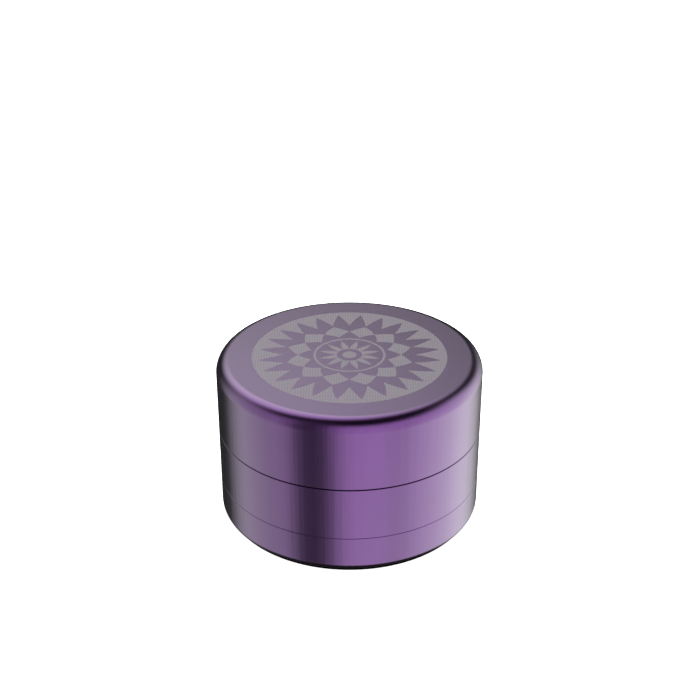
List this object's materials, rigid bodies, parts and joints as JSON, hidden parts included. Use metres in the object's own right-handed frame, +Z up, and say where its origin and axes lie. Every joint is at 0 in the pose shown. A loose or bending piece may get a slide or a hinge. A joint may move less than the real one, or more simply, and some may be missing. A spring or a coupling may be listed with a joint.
{
  "type": "herb grinder",
  "caption": "Round metal hand-twist grinder: a lid with a toothed magnetic rotor turns over a perforated milling plate, above a collecting chamber, a sifting screen and a screw-on powder tray.",
  "frame": {"origin": "centre of the footprint on the table, under the middle of the foot ring", "axes": "+Z up along the axis that every piece is turned about; +X passes over one rotor tooth, and the other two pins and screws follow every 120 degrees"},
  "size_m": [0.0636, 0.0636, 0.0402],
  "materials": {
    "anodised_purple": "bead-blasted, satin purple anodising",
    "clear_anodised": "milled, clear anodised",
    "magnet": "nickel-plated",
    "stainless": "fine brushed",
    "ptfe": "waxy, slightly translucent white",
    "silicone": "matte black"
  },
  "bodies": {
    "base": {"base_tray": "anodised_purple", "foot_ring": "silicone"},
    "thread_seal": {"thread_seal_ring": "silicone"},
    "chamber": {"chamber_body": "anodised_purple", "locating_pins": "stainless", "lid_seal_ring": "silicone", "screen_upper_ring": "stainless", "screen_mesh": "stainless", "screen_lower_ring": "stainless", "screen_snap_ring": "stainless"},
    "mill": {"mill_plate": "clear_anodised", "mill_teeth": "clear_anodised", "mill_magnet": "magnet", "mill_magnet_cap": "stainless"},
    "glide": {"glide_ring": "ptfe"},
    "lid": {"lid_shell": "anodised_purple", "rotor_plate": "clear_anodised", "rotor_teeth": "clear_anodised", "rotor_magnet": "magnet", "rotor_magnet_cap": "stainless", "rotor_screws": "stainless", "rotor_drive_pins": "stainless"}
  },
  "joints": [
    {"name": "chamber_rise", "type": "slide", "parent": "base", "child": "thread_seal", "axis": [0, 0, 1], "range_m": [0, 0.018]},
    {"name": "chamber_turn", "type": "hinge", "parent": "thread_seal", "child": "chamber", "pos_m": [0, 0, 0.0096], "axis": [0, 0, 1], "range_deg": [0, 1800]},
    {"name": "plate_lift", "type": "slide", "parent": "chamber", "child": "mill", "axis": [0, 0, 1], "range_m": [0, 0.016]},
    {"name": "lid_lift", "type": "slide", "parent": "mill", "child": "glide", "axis": [0, 0, 1], "range_m": [0, 0.035]},
    {"name": "lid_turn", "type": "hinge", "parent": "glide", "child": "lid", "pos_m": [0, 0, 0.0244], "axis": [0, 0, 1], "continuous": true}
  ],
  "couplings": [
    {"joint": "chamber_rise", "follows": "chamber_turn", "m_per_rad": 0.00057295}
  ]
}
